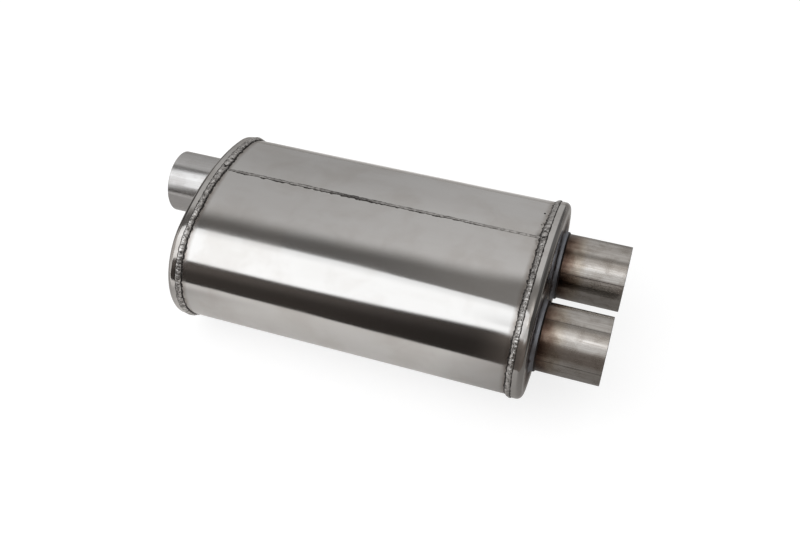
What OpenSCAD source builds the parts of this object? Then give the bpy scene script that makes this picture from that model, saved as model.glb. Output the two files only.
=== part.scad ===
// Oval stainless exhaust muffler with one offset inlet neck and two outlet necks.
// X runs along the body from the inlet to the outlets, Z is up, and the part lies on z = 0.
// The origin is below the middle of the body. All sizes are in millimetres.

/* [Shell] */
// Length of the body over the two end caps
body_len = 355.6; // [300:0.2:450]
// Outside radius of the two rounded ends of the oval
end_r = 61.4; // [57:0.2:72]
// Outside radius of the two broad faces of the oval
flat_r = 209.4; // [180:0.2:300]
// Distance between the centres of the two rounded ends
end_spacing = 96; // [88:0.5:110]
// Sheet thickness of the shell
shell_wall = 1.2; // [0.8:0.1:2]

/* [Seam] */
// Distance of the seam from the middle of the top face
seam_offset = 9.5; // [0:0.5:25]
// Gap between the two edges of the wrapped sheet
seam_gap = 0.8; // [0.4:0.1:1.2]
// Width of the weld crown along the seam
seam_crown_w = 2.6; // [1.8:0.1:4]
// Height of the weld crown above the sheet
seam_crown_h = 0.5; // [0.3:0.05:0.8]

/* [End caps] */
// Sheet thickness of the end caps
cap_wall = 1.5; // [1:0.1:2]
// Clearance between a cap's skirt and the shell inside it
cap_fit = 0.4; // [0.2:0.05:0.8]
// Depth of a cap from its face to the edge of its skirt
cap_depth = 10; // [8:0.5:16]
// Outside radius of the bend between a cap's face and its skirt
cap_corner_r = 5.8; // [3:0.1:7]
// Height of the collar drawn out of a cap or baffle round a tube
collar_h = 4.2; // [3.6:0.1:8]
// Radius of the bend at the foot of a collar
collar_bend_r = 3; // [2:0.1:3.5]
// Clearance between a collar and the tube in it
collar_fit = 0.1; // [0.05:0.05:0.3]

/* [Welds] */
// Width of the weld bead that joins a cap to the shell
end_weld_w = 6; // [4:0.2:6.8]
// Radius of that bead's crown
end_weld_r = 3.6; // [3.6:0.1:6]
// Height of the weld fillet above a collar's lip
neck_weld_h = 1.7; // [1:0.1:3]
// Angle that one tack weld on a baffle's collar covers
tack_angle = 14; // [8:1:24]
// Number of tack welds on each collar
tack_count = 3; // [2:1:5]

/* [Necks] */
// Bore of the three necks, a slip fit on a 63.5 mm pipe
neck_bore = 63.6; // [58:0.1:64.6]
// Wall of the necks
neck_wall = 1.2; // [1:0.1:2]
// Length of the inlet neck outside its cap
inlet_len = 68; // [50:0.5:100]
// Length of the rear outlet neck outside its cap
rear_outlet_len = 68; // [50:0.5:100]
// Length of the front outlet neck outside its cap
front_outlet_len = 66; // [50:0.5:100]
// Length of each neck inside the body
neck_inside = 22; // [16:1:30]
// Distance between the centre lines of the two outlets
outlet_spacing = 96.5; // [92:0.5:104]

/* [Baffles] */
// Length of the open chamber behind the inlet cap
inlet_chamber = 95; // [80:1:120]
// Length of the open chamber behind the outlet cap
outlet_chamber = 60; // [50:1:80]
// Sheet thickness of the baffles
baffle_wall = 1.2; // [0.8:0.1:1.6]
// Clearance between a baffle's rim and the shell
baffle_fit = 0.1; // [0.05:0.05:0.4]
// Depth of a baffle from its face to the edge of its rim
baffle_depth = 12; // [9:0.5:16]
// Outside radius of the bend at a baffle's rim
baffle_corner_r = 4; // [2:0.5:5]
// Diameter of the bleed holes in the baffles
bleed_d = 6; // [3:0.5:7]
// Distance between neighbouring bleed holes
bleed_pitch = 12; // [10:0.5:13]

/* [Perforated cores] */
// Clearance between a neck and the core tube pushed over its inner end
core_fit = 0.3; // [0.1:0.05:0.5]
// Distance between an end cap and the end of the core tube behind it
core_end_gap = 3; // [2:0.5:6]
// Wall of the core tubes
core_wall = 1.2; // [0.8:0.1:1.5]
// Diameter of the perforations
hole_d = 6; // [3:0.5:8]
// Distance between rows of perforations along a tube
hole_pitch = 14; // [12:0.5:24]
// Number of perforations in a row round a tube
holes_round = 12; // [8:1:12]
// Distance that the branch core stands out into the inlet chamber
mouth_reach = 22; // [18:1:30]
// Radius of the flare at the branch core's mouth
mouth_r = 6; // [3:0.5:8]

/* [Packing] */
// Thickness of the steel wool round each core
wool_t = 4; // [3:0.5:6]
// Clearance round the steel wool and the fibre packing
packing_fit = 0.3; // [0.2:0.1:0.6]

/* [Hidden] */
$fn = 96;

// The oval is four arcs that meet in line: two rounded ends and two broad faces.
// Centre of a broad face's arc, measured from the mid plane
flat_lift = sqrt(pow(flat_r - end_r, 2) - pow(end_spacing / 2, 2));
// Angle from upright at which the arcs meet, and how far the cutting wedges reach past it
join_angle = atan2(end_spacing / 2, flat_lift);
wedge = 2 * end_r;
join_y = end_spacing / 2 + wedge * sin(join_angle);
join_z = wedge * cos(join_angle);
half_height = flat_r - flat_lift;

// Places along X, counted from the middle of the body, alike at both ends
face_x = body_len / 2;
skirt_x = face_x - cap_depth;
shell_end_x = face_x - cap_corner_r;
inlet_baffle_x = -face_x + inlet_chamber;
outlet_baffle_x = face_x - outlet_chamber;

// Offsets from the outside of the shell, outwards
skirt_out = cap_fit + cap_wall;
baffle_out = -shell_wall - baffle_fit;

// Cross-section of the end weld: a circle through the shell and the corner of the skirt
weld_chord = norm([end_weld_w, skirt_out]);
weld_sag = sqrt(pow(end_weld_r, 2) - pow(weld_chord / 2, 2));
weld_centre_u = skirt_out / 2 - weld_sag * end_weld_w / weld_chord;
weld_centre_v = -end_weld_w / 2 + weld_sag * skirt_out / weld_chord;
weld_top = max(skirt_out, weld_centre_u + end_weld_r);

// The body lies on the highest line of its weld beads
axis_z = half_height + weld_top;

// The tubes
rear_y = outlet_spacing / 2;
front_y = -outlet_spacing / 2;
neck_r = neck_bore / 2 + neck_wall;
core_r = neck_r + core_fit + core_wall;
wool_in_r = core_r + packing_fit;
wool_out_r = wool_in_r + wool_t;
neck_end_x = face_x - neck_inside;
core_end_x = face_x - cap_wall - core_end_gap;
// Solid margin between the end of a perforated stretch and its first holes
hole_edge = hole_d;
mouth_x = inlet_baffle_x - mouth_reach;
// Angle through which the sheet of the flared mouth turns outwards
mouth_angle = 60;
// Height of the first row of bleed holes above the mid plane, clear of the baffles' collars
bleed_lift = half_height / 2 - bleed_pitch / 3;
// How far a shape that cuts or clips reaches past what it cuts
overrun = shell_wall;

// Seam
seam_surface_z = sqrt(pow(flat_r, 2) - pow(seam_offset, 2)) - flat_lift;
crown_r = (pow(seam_crown_w / 2, 2) + pow(seam_crown_h, 2)) / (2 * seam_crown_h);
slit_depth = shell_wall + 2 * overrun;

// Turns a shape drawn in Y and Z and extruded upwards so that it runs along X on the body's axis
module along_body() translate([0, 0, axis_z]) rotate([90, 0, 90]) children();

// Places a shape turned about local Z on a tube's centre line, with its foot at x
module on_tube(y, x) along_body() translate([y, 0, x]) children();

// Oval outline, grown outwards from the outside of the shell
module oval(grow = 0) {
    for (side = [-1, 1])
        translate([side * end_spacing / 2, 0]) circle(r = end_r + grow, $fn = 160);
    intersection() {
        translate([0, -flat_lift]) circle(r = flat_r + grow, $fn = 480);
        translate([0, flat_lift]) circle(r = flat_r + grow, $fn = 480);
        polygon([[-join_y, join_z], [join_y, join_z], [end_spacing / 2, 0],
            [join_y, -join_z], [-join_y, -join_z], [-end_spacing / 2, 0]]);
    }
}

// Oval plate from x0 to x1
module oval_plate(x0, x1, grow) translate([0, 0, x0]) linear_extrude(x1 - x0) oval(grow);

// Carries a profile round the oval: profile X is the offset from the shell, profile Y runs along the body
module round_oval(x0, x1) {
    for (side = [-1, 1]) {
        intersection() {
            translate([side * end_spacing / 2, 0, 0])
                rotate_extrude($fn = 160) translate([end_r, 0]) children();
            translate([0, 0, x0]) linear_extrude(x1 - x0)
                polygon([[side * end_spacing / 2, 0], [side * join_y, join_z],
                    [side * (join_y + wedge), join_z], [side * (join_y + wedge), -join_z],
                    [side * join_y, -join_z]]);
        }
        intersection() {
            translate([0, -side * flat_lift, 0])
                rotate_extrude($fn = 480) translate([flat_r, 0]) children();
            translate([0, 0, x0]) linear_extrude(x1 - x0)
                polygon([[-end_spacing / 2, 0], [end_spacing / 2, 0],
                    [join_y, side * join_z], [-join_y, side * join_z]]);
        }
    }
}

// Quarter of a bent sheet, from its centre of curvature towards +X and +Y
module bend(outer_r, wall) intersection() {
    difference() {
        circle(r = outer_r);
        circle(r = outer_r - wall);
    }
    square(outer_r);
}

// Pressed oval dish: face at x = 0, skirt towards -X, with its flat plate let into the bent rim
module dish(outer, wall, corner_r, depth) {
    lap = corner_r / 2;
    round_oval(-depth - overrun, overrun) {
        translate([outer - wall, -depth]) square([wall, depth - corner_r]);
        translate([outer - corner_r, -corner_r]) bend(corner_r, wall);
        translate([outer - corner_r - 2 * lap, -wall]) square([2 * lap, wall]);
    }
    oval_plate(-wall, 0, outer - corner_r - lap);
}

// Radius at which the bend at a collar's foot runs out into the flat sheet
function collar_foot_r(tube_r, wall) = tube_r + collar_fit + wall + collar_bend_r;

// Collar drawn out of a sheet towards +X, with the outer face of the sheet at x = 0
module collar(tube_r, wall) {
    inner_r = tube_r + collar_fit;
    foot_r = collar_foot_r(tube_r, wall);
    rotate_extrude() {
        translate([inner_r, collar_bend_r]) square([wall, collar_h - collar_bend_r]);
        translate([foot_r, collar_bend_r]) rotate([0, 0, 180]) bend(collar_bend_r + wall, wall);
        translate([foot_r, -wall]) square([collar_bend_r, wall]);
    }
}

// Hole that a collar's foot replaces in its sheet
module collar_hole(tube_r, wall)
    translate([0, 0, -wall - overrun])
        cylinder(r = collar_foot_r(tube_r, wall) + collar_bend_r / 2, h = wall + 2 * overrun);

// Fillet between a tube and the lip of the collar round it, over an angle
module lip_fillet(tube_r, wall, height, angle = 360)
    rotate_extrude(angle = angle) translate([tube_r, collar_h])
        polygon([[0, 0], [collar_fit + wall, 0], [0, height]]);

// Tube from x0 to x1 on a centre line
module tube(y, x0, x1, inner_r, outer_r)
    on_tube(y, x0) difference() {
        cylinder(r = outer_r, h = x1 - x0);
        translate([0, 0, -overrun]) cylinder(r = inner_r, h = x1 - x0 + 2 * overrun);
    }

// Staggered perforations through one wall of a tube, in as many rows as fit between x0 and x1
module perforations(y, x0, x1, outer_r, wall) {
    rows = floor((x1 - x0 - 2 * hole_edge) / hole_pitch);
    first_x = (x0 + x1 - rows * hole_pitch) / 2;
    for (row = [0:rows], k = [0:holes_round - 1])
        on_tube(y, first_x + row * hole_pitch)
            rotate([0, 0, (k + (row % 2) / 2) * 360 / holes_round])
                translate([outer_r - wall - overrun, 0, 0]) rotate([0, 90, 0])
                    cylinder(d = hole_d, h = wall + 2 * overrun, $fn = 24);
}

// Bleed holes in a baffle, above and below the space between the two tubes
module bleed_holes() {
    for (side = [-1, 1], row = [0:2], column = [-1:1])
        translate([column * bleed_pitch, side * (bleed_lift + row * bleed_pitch), -baffle_wall - overrun])
            cylinder(d = bleed_d, h = baffle_wall + 2 * overrun, $fn = 24);
}

// Slit between the two edges of the wrapped sheet
module seam_slit() translate([seam_offset - seam_gap / 2, seam_surface_z - slit_depth])
    square([seam_gap, slit_depth + seam_crown_h / 2]);

// End cap on the outlet side, with a collar at each of the given tube places
module end_cap(tube_places) translate([0, 0, face_x]) {
    difference() {
        dish(skirt_out, cap_wall, cap_corner_r, cap_depth);
        for (y = tube_places) translate([y, 0, 0]) collar_hole(neck_r, cap_wall);
    }
    for (y = tube_places) translate([y, 0, 0]) collar(neck_r, cap_wall);
}

// Weld bead between the shell and the skirt of the cap on the outlet side
module end_weld() round_oval(0, body_len) translate([0, skirt_x]) intersection() {
    translate([weld_centre_u, weld_centre_v]) circle(r = end_weld_r);
    translate([0, -end_weld_w]) square([2 * end_weld_r, end_weld_w]);
}

// Baffle with its smooth face at x = 0 and its rim and collars towards -X
module baffle() {
    difference() {
        dish(baffle_out, baffle_wall, baffle_corner_r, baffle_depth);
        for (y = [front_y, rear_y]) translate([y, 0, 0]) collar_hole(core_r, baffle_wall);
        bleed_holes();
    }
    for (y = [front_y, rear_y])
        translate([y, 0, -baffle_wall]) mirror([0, 0, 1]) collar(core_r, baffle_wall);
}

// Tack welds between a baffle's collars and the two cores
module baffle_tacks() for (y = [front_y, rear_y], k = [0:tack_count - 1])
    translate([y, 0, -baffle_wall]) mirror([0, 0, 1]) rotate([0, 0, 90 + k * 360 / tack_count])
        lip_fillet(core_r, baffle_wall, baffle_wall, tack_angle);

// Sheet wrapped to an oval, open at both ends and along the seam
module shell() color("silver") along_body() translate([0, 0, -shell_end_x])
    linear_extrude(2 * shell_end_x) difference() {
        oval();
        oval(-shell_wall);
        seam_slit();
    }

// Weld that fills the slit over its whole length and stands proud between the two end welds
module shell_seam_weld() color("dimgray") along_body() {
    translate([0, 0, -shell_end_x]) linear_extrude(2 * shell_end_x) difference() {
        intersection() {
            seam_slit();
            oval();
        }
        oval(-shell_wall);
    }
    crown_x = skirt_x - end_weld_w;
    translate([0, 0, -crown_x]) linear_extrude(2 * crown_x) {
        difference() {
            translate([seam_offset, seam_surface_z + seam_crown_h - crown_r]) circle(r = crown_r);
            oval();
        }
        difference() {
            seam_slit();
            oval(-shell_wall);
        }
    }
}

module inlet_end_cap() color("lightgray") along_body() mirror([0, 0, 1]) end_cap([rear_y]);

module outlet_end_cap() color("lightgray") along_body() end_cap([front_y, rear_y]);

module inlet_end_weld() color("gray") along_body() mirror([0, 0, 1]) end_weld();

module outlet_end_weld() color("gray") along_body() end_weld();

module inlet_neck() color("gainsboro")
    tube(rear_y, -face_x - inlet_len, -neck_end_x, neck_bore / 2, neck_r);

module rear_outlet_neck() color("rosybrown")
    tube(rear_y, neck_end_x, face_x + rear_outlet_len, neck_bore / 2, neck_r);

module front_outlet_neck() color("rosybrown")
    tube(front_y, neck_end_x, face_x + front_outlet_len, neck_bore / 2, neck_r);

module inlet_neck_weld() color("slategray")
    on_tube(rear_y, -face_x) mirror([0, 0, 1]) lip_fillet(neck_r, cap_wall, neck_weld_h);

module rear_outlet_neck_weld() color("slategray")
    on_tube(rear_y, face_x) lip_fillet(neck_r, cap_wall, neck_weld_h);

module front_outlet_neck_weld() color("slategray")
    on_tube(front_y, face_x) lip_fillet(neck_r, cap_wall, neck_weld_h);

// Both baffles turn their smooth faces to the packing between them
module inlet_baffle() color("darkgray")
    along_body() translate([0, 0, inlet_baffle_x]) baffle();

module outlet_baffle() color("darkgray")
    along_body() translate([0, 0, outlet_baffle_x]) mirror([0, 0, 1]) baffle();

module inlet_baffle_tacks() color("slategray")
    along_body() translate([0, 0, inlet_baffle_x]) baffle_tacks();

module outlet_baffle_tacks() color("slategray")
    along_body() translate([0, 0, outlet_baffle_x]) mirror([0, 0, 1]) baffle_tacks();

// Straight core from the inlet neck to the rear outlet neck, perforated in the inlet chamber,
// where gas crosses over to the branch core, and between the baffles
module through_core() color("lightsteelblue") difference() {
    tube(rear_y, -core_end_x, core_end_x, core_r - core_wall, core_r);
    perforations(rear_y, -neck_end_x, inlet_baffle_x - baffle_wall - collar_h - baffle_wall,
        core_r, core_wall);
    perforations(rear_y, inlet_baffle_x, outlet_baffle_x, core_r, core_wall);
}

// Core from its flared mouth in the inlet chamber to the front outlet neck
module branch_core() color("lightsteelblue") difference() {
    bend_r = mouth_r + core_wall;
    clip = 2 * bend_r;
    union() {
        tube(front_y, mouth_x, core_end_x, core_r - core_wall, core_r);
        on_tube(front_y, mouth_x) mirror([0, 0, 1]) rotate_extrude()
            translate([core_r + mouth_r, 0]) mirror([1, 0]) intersection() {
                bend(bend_r, core_wall);
                polygon([[0, 0], [clip, 0], [clip * cos(mouth_angle), clip * sin(mouth_angle)]]);
            }
    }
    perforations(front_y, inlet_baffle_x, outlet_baffle_x, core_r, core_wall);
}

module core_wool(y) tube(y, inlet_baffle_x + packing_fit, outlet_baffle_x - packing_fit,
    wool_in_r, wool_out_r);

module through_core_wool() color("gray") core_wool(rear_y);

module branch_core_wool() color("gray") core_wool(front_y);

module fibre_packing() color("khaki") along_body()
    translate([0, 0, inlet_baffle_x + packing_fit])
        linear_extrude(outlet_baffle_x - inlet_baffle_x - 2 * packing_fit) difference() {
            oval(-shell_wall - packing_fit);
            for (y = [front_y, rear_y]) translate([y, 0]) circle(r = wool_out_r + packing_fit);
        }

shell();
shell_seam_weld();
inlet_end_cap();
outlet_end_cap();
inlet_end_weld();
outlet_end_weld();
inlet_neck();
rear_outlet_neck();
front_outlet_neck();
inlet_neck_weld();
rear_outlet_neck_weld();
front_outlet_neck_weld();
inlet_baffle();
outlet_baffle();
inlet_baffle_tacks();
outlet_baffle_tacks();
through_core();
branch_core();
through_core_wool();
branch_core_wool();
fibre_packing();
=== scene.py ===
# %% [markdown]
# # A stainless steel muffler with one inlet and two outlets
#
# The construction comes from a finished model: every piece has its true size and place there, and this
# lesson only gives the pieces their looks. The muffler lies on a broad face. X runs along the body from
# the inlet to the outlets, Y runs across it, and Z points up. All lengths are in metres, so sizes written
# in millimetres are multiplied by MM.

# %% Load the finished construction
import math

import bmesh
import bpy
import numpy as np
from mathutils import Matrix, Vector


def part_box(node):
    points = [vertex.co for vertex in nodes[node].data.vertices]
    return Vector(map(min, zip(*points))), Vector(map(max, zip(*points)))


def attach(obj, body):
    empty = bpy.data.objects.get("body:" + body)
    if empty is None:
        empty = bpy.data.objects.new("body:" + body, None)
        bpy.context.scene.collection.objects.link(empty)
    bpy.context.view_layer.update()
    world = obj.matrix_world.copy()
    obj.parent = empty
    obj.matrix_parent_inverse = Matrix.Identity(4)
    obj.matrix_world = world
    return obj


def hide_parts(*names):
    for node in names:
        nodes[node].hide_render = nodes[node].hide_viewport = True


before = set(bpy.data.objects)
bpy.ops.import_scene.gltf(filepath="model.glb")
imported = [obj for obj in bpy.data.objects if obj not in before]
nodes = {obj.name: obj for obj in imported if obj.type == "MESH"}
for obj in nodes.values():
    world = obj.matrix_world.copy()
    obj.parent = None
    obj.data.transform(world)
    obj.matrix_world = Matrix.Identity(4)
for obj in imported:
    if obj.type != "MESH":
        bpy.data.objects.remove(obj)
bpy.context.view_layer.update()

MM = 0.001


# %% [markdown]
# ## Sizes that the looks need
#
# The new surfaces must lie exactly where the construction has them. So nothing is measured twice: the
# sizes are read from the boxes of the finished pieces, and only the few that a box can't show are written
# here.

# %% Read the sizes
END_SPACING = 96 * MM
CAP_CORNER_R = 5.8 * MM
CAP_WALL = 1.5 * MM
COLLAR_BEND_R = 3 * MM
NECK_WALL = 1.2 * MM
SHELL_WALL = 1.2 * MM


def tidy_box(node):
    """Corners of a finished piece, rounded to a hundredth of a millimetre."""
    return [Vector([round(v / MM, 2) * MM for v in corner]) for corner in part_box(node)]


shell_high = tidy_box("shell")[1]
cap_low, cap_high = tidy_box("outlet_end_cap")
bead_low, bead_high = tidy_box("outlet_end_weld")
seam_low, seam_high = tidy_box("shell_seam_weld")
neck_low, neck_high = tidy_box("rear_outlet_neck")

neck_r = round((neck_high.y - neck_low.y) / 2, 4)
axis_z = (neck_high.z + neck_low.z) / 2
half_width = shell_high.y
half_height = round(shell_high.z - axis_z, 4)
shell_end = shell_high.x
face_x = shell_end + CAP_CORNER_R
skirt_x = cap_low.x
lip_x = cap_high.x
skirt_out = round(cap_high.y - half_width, 4)
bead_w = skirt_x - bead_low.x
bead_top = bead_high.z - axis_z - half_height
print("half width, half height, axis:", half_width, half_height, axis_z)
print("skirt stands out", skirt_out, "and the weld bead", bead_top)

# %% [markdown]
# ## The oval
#
# A muffler body like this is rolled to four arcs that meet without a corner: two broad faces and two
# tight ends. Anything that goes round the body is easiest to place by one number, the distance walked
# along the outline. The function below turns that distance into a place and the direction that points
# straight out.

# %% Walk round the oval
end_r = half_width - END_SPACING / 2
flat_r = ((END_SPACING / 2) ** 2 + half_height ** 2 - end_r ** 2) / (2 * (half_height - end_r))
flat_lift = flat_r - half_height
join = math.atan2(END_SPACING / 2, flat_lift)
arc_turns = np.array([0, join, math.pi - join, math.pi + join, 2 * math.pi - join, 2 * math.pi])
arc_radii = np.array([flat_r, end_r, flat_r, end_r, flat_r])
arc_starts = np.concatenate([[0], np.cumsum(arc_radii * np.diff(arc_turns))])
arc_centres = np.array([[0, -flat_lift], [END_SPACING / 2, 0], [0, flat_lift], [-END_SPACING / 2, 0],
                        [0, -flat_lift]])
girth = arc_starts[-1]


def oval(walked, out=0.0):
    """Places and outward directions in Y and Z, for distances walked from the top middle towards +Y."""
    walked = np.mod(walked, girth)
    arc = np.clip(np.searchsorted(arc_starts, walked, side="right") - 1, 0, len(arc_radii) - 1)
    turn = arc_turns[arc] + (walked - arc_starts[arc]) / arc_radii[arc]
    outward = np.stack([np.sin(turn), np.cos(turn)], -1)
    radius = arc_radii[arc] + out
    return arc_centres[arc] + radius[..., None] * outward + [0, axis_z], outward


print("girth of the shell in mm:", round(girth / MM, 1), "radius of the broad faces:", round(flat_r / MM, 1))

# %% [markdown]
# ## Helpers for meshes
#
# Most pieces here are sheets or beads that follow a line, so their points form a grid: one row after
# another, with the same number of points in each. Such a grid is quick to compute as an array, and its
# faces follow from its size. Edges where two faces meet at a steep angle are marked sharp, and the rest
# is shaded smooth.

# %% Grids of points
SHARP_ANGLE = math.radians(38)
SAME_POINT = 0.002 * MM


def at_x(x, section):
    """The points of a section in Y and Z, all at one place along X."""
    return np.column_stack([np.full(len(section), x), section])


def neck_ring(centre, radius, turn):
    """A circle round a neck's centre line, as a section in Y and Z."""
    return np.column_stack([centre + radius * np.sin(turn), axis_z + radius * np.cos(turn)])


def grid_faces(rows, columns, wrap_rows=False, wrap_columns=False, first=0):
    """Four-sided faces of a grid of points, counted row by row from the point `first`."""
    row = np.arange(rows if wrap_rows else rows - 1)[:, None]
    column = np.arange(columns if wrap_columns else columns - 1)[None, :]
    next_row = (row + 1) % rows
    next_column = (column + 1) % columns
    corners = [row * columns + column, row * columns + next_column,
               next_row * columns + next_column, next_row * columns + column]
    return first + np.stack(np.broadcast_arrays(*corners), -1).reshape(-1, 4)


def new_object(name, points, faces, marks):
    """An object with a mesh. `marks` are named numbers kept with each point."""
    mesh = bpy.data.meshes.new(name)
    mesh.from_pydata(np.asarray(points, float).reshape(-1, 3).tolist(), [], list(faces))
    for mark, values in marks.items():
        mesh.attributes.new(mark, "FLOAT", "POINT").data.foreach_set("value", np.asarray(values).ravel())
    made = bpy.data.objects.new(name, mesh)
    bpy.context.scene.collection.objects.link(made)
    return made


def finish_mesh(mesh):
    """Joins points that lie together, turns all faces outwards and sets the shading."""
    shape = bmesh.new()
    shape.from_mesh(mesh)
    bmesh.ops.remove_doubles(shape, verts=shape.verts, dist=SAME_POINT)
    bmesh.ops.recalc_face_normals(shape, faces=shape.faces)
    shape.to_mesh(mesh)
    shape.free()
    mesh.shade_smooth()
    mesh.set_sharp_from_angle(angle=SHARP_ANGLE)


def add_piece(name, points, faces, node, slot, **marks):
    """Makes a mesh piece that stands for a finished node."""
    piece = new_object(name, points, faces, marks)
    finish_mesh(piece.data)
    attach(piece, "root")
    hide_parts(node)
    print(name, "faces:", len(piece.data.polygons))
    return piece


print("faces of a grid of 3 by 4 points:", len(grid_faces(3, 4)))

# %% [markdown]
# ## Controlled unevenness
#
# Hand work and pressed sheet are never quite regular. Real unevenness is smooth at its own scale, so it
# can't be plain random numbers: the function below draws one random value per step from a fixed seed and
# eases from each to the next. Because the seed is fixed, the piece comes out the same every time.

# %% Smooth random wandering
def wander(walked, length, step, seed, loop=True):
    """Smooth values from -1 to 1 along a line of that length, with about one swing per step."""
    knots = max(4, int(round(length / step)))
    values = np.random.RandomState(seed).uniform(-1, 1, knots + (0 if loop else 2))
    place = np.asarray(walked) / length * knots
    index = np.floor(place).astype(int)
    ease = (1 - np.cos(np.pi * (place - index))) / 2
    count = len(values)
    return values[index % count] * (1 - ease) + values[(index + 1) % count] * ease


print("three values of a wandering line:", np.round(wander(np.array([0, 1, 2]), 10, 1, 4), 2))

# %% [markdown]
# ## The shell
#
# The shell is one sheet wrapped round the oval, with its two edges along the top. The finished model has
# it already, but perfectly smooth. A rolled sheet is slightly uneven, and it is pulled in a little where
# the end welds shrink as they cool. Both are far too small to see as shape, and both show at once in the
# reflections. So the sheet is built again as a grid, with its true thickness, and moved by a tenth of a
# millimetre or so where it shows.

# %% Build the shell
SEAM_GAP = 0.8 * MM
SHELL_STEPS_ROUND = 340
SHELL_STEPS_ALONG = 96
WELD_PULL = 0.06 * MM
WELD_PULL_REACH = 7 * MM
SHEET_WAVES = [  # height, waves round the oval, wave length along X, phase round, phase along
    (0.045 * MM, 3, 310 * MM, 0.4, 1.9),
    (0.030 * MM, 5, 170 * MM, 2.1, 0.3),
    (0.016 * MM, 9, 90 * MM, 5.0, 4.4),
    (0.006 * MM, 17, 46 * MM, 1.2, 2.8),
]

seam_y = (seam_low.y + seam_high.y) / 2
seam_at = flat_r * math.asin(seam_y / flat_r)


def sheet_relief(walked, x):
    """How far the sheet's outside lies above or below the true oval."""
    relief = -WELD_PULL * np.exp((np.abs(x) - skirt_x + bead_w) / WELD_PULL_REACH)
    for height, waves, length, phase_round, phase_along in SHEET_WAVES:
        relief = relief + height * (np.sin(2 * np.pi * waves * walked / girth + phase_round)
                                    * np.sin(2 * np.pi * x / length + phase_along))
    return relief


def build_shell():
    """The wrapped sheet with its outer and inner face, its two long edges and its two end rims."""
    walked = seam_at + np.linspace(SEAM_GAP / 2, girth - SEAM_GAP / 2, SHELL_STEPS_ROUND)
    x = np.linspace(-shell_end, shell_end, SHELL_STEPS_ALONG)
    rows = []
    for station, lift in zip(x, sheet_relief(walked[None, :], x[:, None])):
        outside, outward = oval(walked, lift)
        inside = outside - SHELL_WALL * outward
        rows.append(at_x(station, np.concatenate([outside, inside[::-1]])))
    columns = 2 * SHELL_STEPS_ROUND
    step = np.arange(SHELL_STEPS_ROUND - 1)
    rim = np.stack([step, step + 1, columns - 2 - step, columns - 1 - step], -1)
    faces = [grid_faces(len(x), columns, wrap_columns=True), rim, rim + (len(x) - 1) * columns]
    return add_piece("shell_sheet", rows, np.concatenate(faces), "shell", "shell_steel")


shell = build_shell()

# %% [markdown]
# ## The end caps
#
# Each cap is a pressed dish. Its skirt is pushed over the shell, a rounded bend leads to the flat face,
# and a short collar is drawn out of the face round each neck. The skirt and bend are one profile carried
# round the oval, and a collar is a profile turned round its neck. The profiles run a little way onto the
# flat, which keeps the shading of the bends clean.

# %% Profiles of a cap
BEND_STEPS = 12
FLAT_STRIP = 2.4 * MM
SKIRT_BEVEL = 0.25 * MM
COLLAR_FIT = 0.1 * MM


def arc_points(centre, radius, start, end):
    """Points on an arc, with angles in degrees."""
    angle = np.radians(np.linspace(start, end, BEND_STEPS + 1))
    return [(centre[0] + radius * math.cos(a), centre[1] + radius * math.sin(a)) for a in angle]


def rim_profile():
    """Offset from the shell and place along X, from the inner side round the skirt to the outer side."""
    centre = (skirt_out - CAP_CORNER_R, face_x - CAP_CORNER_R)
    skirt_in = skirt_out - CAP_WALL
    return ([(centre[0] - FLAT_STRIP, face_x - CAP_WALL)]
            + arc_points(centre, CAP_CORNER_R - CAP_WALL, 90, 0)
            + [(skirt_in, skirt_x + SKIRT_BEVEL), (skirt_in + SKIRT_BEVEL, skirt_x),
               (skirt_out - SKIRT_BEVEL, skirt_x), (skirt_out, skirt_x + SKIRT_BEVEL)]
            + arc_points(centre, CAP_CORNER_R, 0, 90)
            + [(centre[0] - FLAT_STRIP, face_x)])


def collar_profile():
    """Radius and place along X, from the face's inner side over the collar's lip to its outer side."""
    bore_r = neck_r + COLLAR_FIT
    foot_r = bore_r + CAP_WALL + COLLAR_BEND_R
    centre = (foot_r, face_x + COLLAR_BEND_R)
    return ([(foot_r + COLLAR_BEND_R / 2, face_x - CAP_WALL)]
            + arc_points(centre, COLLAR_BEND_R + CAP_WALL, -90, -180)
            + [(bore_r, lip_x), (bore_r + CAP_WALL, lip_x)]
            + arc_points(centre, COLLAR_BEND_R, -180, -90)
            + [(foot_r + COLLAR_BEND_R / 2, face_x)])


print("points in the profiles of rim and collar:", len(rim_profile()), len(collar_profile()))

# %% [markdown]
# Between the rim and the collars the face is flat, inside and out. There is no need to plan faces there:
# the closed outlines are given to Blender, which fills the region between them with triangles.

# %% Build the two caps
CAP_STEPS_ROUND = 420
COLLAR_STEPS_ROUND = 160


def fill_flat(shape, loops):
    """Fills the flat region between closed loops of points."""
    edges = []
    for loop in loops:
        corners = [shape.verts.new(point) for point in loop]
        edges += [shape.edges.new((a, b)) for a, b in zip(corners, corners[1:] + corners[:1])]
    bmesh.ops.triangle_fill(shape, edges=edges, use_beauty=True)


def build_cap(name, node, side, neck_places):
    """A whole cap. `side` is 1 at the outlets and -1 at the inlet."""
    shape = bmesh.new()
    walked = np.linspace(0, girth, CAP_STEPS_ROUND, endpoint=False)
    turn = np.linspace(0, 2 * np.pi, COLLAR_STEPS_ROUND, endpoint=False)
    grids = [[at_x(side * x, oval(walked, out)[0]) for out, x in rim_profile()]]
    for y in neck_places:
        grids.append([at_x(side * x, neck_ring(y, radius, turn)) for radius, x in collar_profile()])
    for grid in grids:
        corners = [shape.verts.new(point) for ring in grid for point in ring]
        for face in grid_faces(len(grid), len(grid[0]), wrap_columns=True):
            shape.faces.new([corners[i] for i in face])
    for ring in (0, -1):
        fill_flat(shape, [grid[ring] for grid in grids])
    shape.verts.index_update()
    points = [vertex.co[:] for vertex in shape.verts]
    faces = [[corner.index for corner in face.verts] for face in shape.faces]
    shape.free()
    return add_piece(name, points, faces, node, "cap_steel")


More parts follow.
